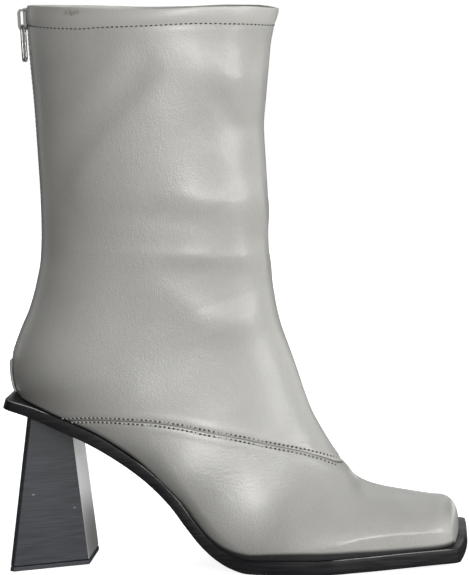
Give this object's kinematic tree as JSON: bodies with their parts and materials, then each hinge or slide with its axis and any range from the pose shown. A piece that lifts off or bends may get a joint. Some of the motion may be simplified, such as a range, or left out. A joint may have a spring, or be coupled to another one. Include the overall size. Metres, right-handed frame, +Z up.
{
  "type": "heeled ankle boot",
  "caption": "Right-foot leather ankle boot with a square toe, a slim dark sole, a tall flared block heel and a zip up the centre back with a hanging pull.",
  "frame": {"origin": "on the floor, under the middle of the boot's length and width", "axes": "+X towards the toe, +Y towards the inner side, +Z up from the floor"},
  "size_m": [0.2417, 0.085, 0.2972],
  "materials": {
    "upper_leather": "smooth warm light-grey leather, satin gloss",
    "sole_edge": "near-black satin edge",
    "heel_block": "charcoal with fine level streaks, satin",
    "top_lift": "dark matt rubber",
    "sock_lining": "pale smooth lining",
    "zip_tape": "grey woven tape",
    "zip_metal": "dark silver metal"
  },
  "bodies": {
    "boot": {"outsole": "sole_edge", "heel": "heel_block", "heel_top_lift": "top_lift", "insole": "sock_lining", "upper": "upper_leather", "back_strip": "upper_leather", "zip_tape": "zip_tape", "zip_chain": "zip_metal", "zip_slider": "zip_metal"},
    "pull": {"zip_pull": "zip_metal"}
  },
  "joints": [
    {"name": "zip_pull_swing", "type": "hinge", "parent": "boot", "child": "pull", "pos_m": [-0.101, 0, 0.2866], "axis": [0, 1, 0], "range_deg": [-4, 170]}
  ]
}
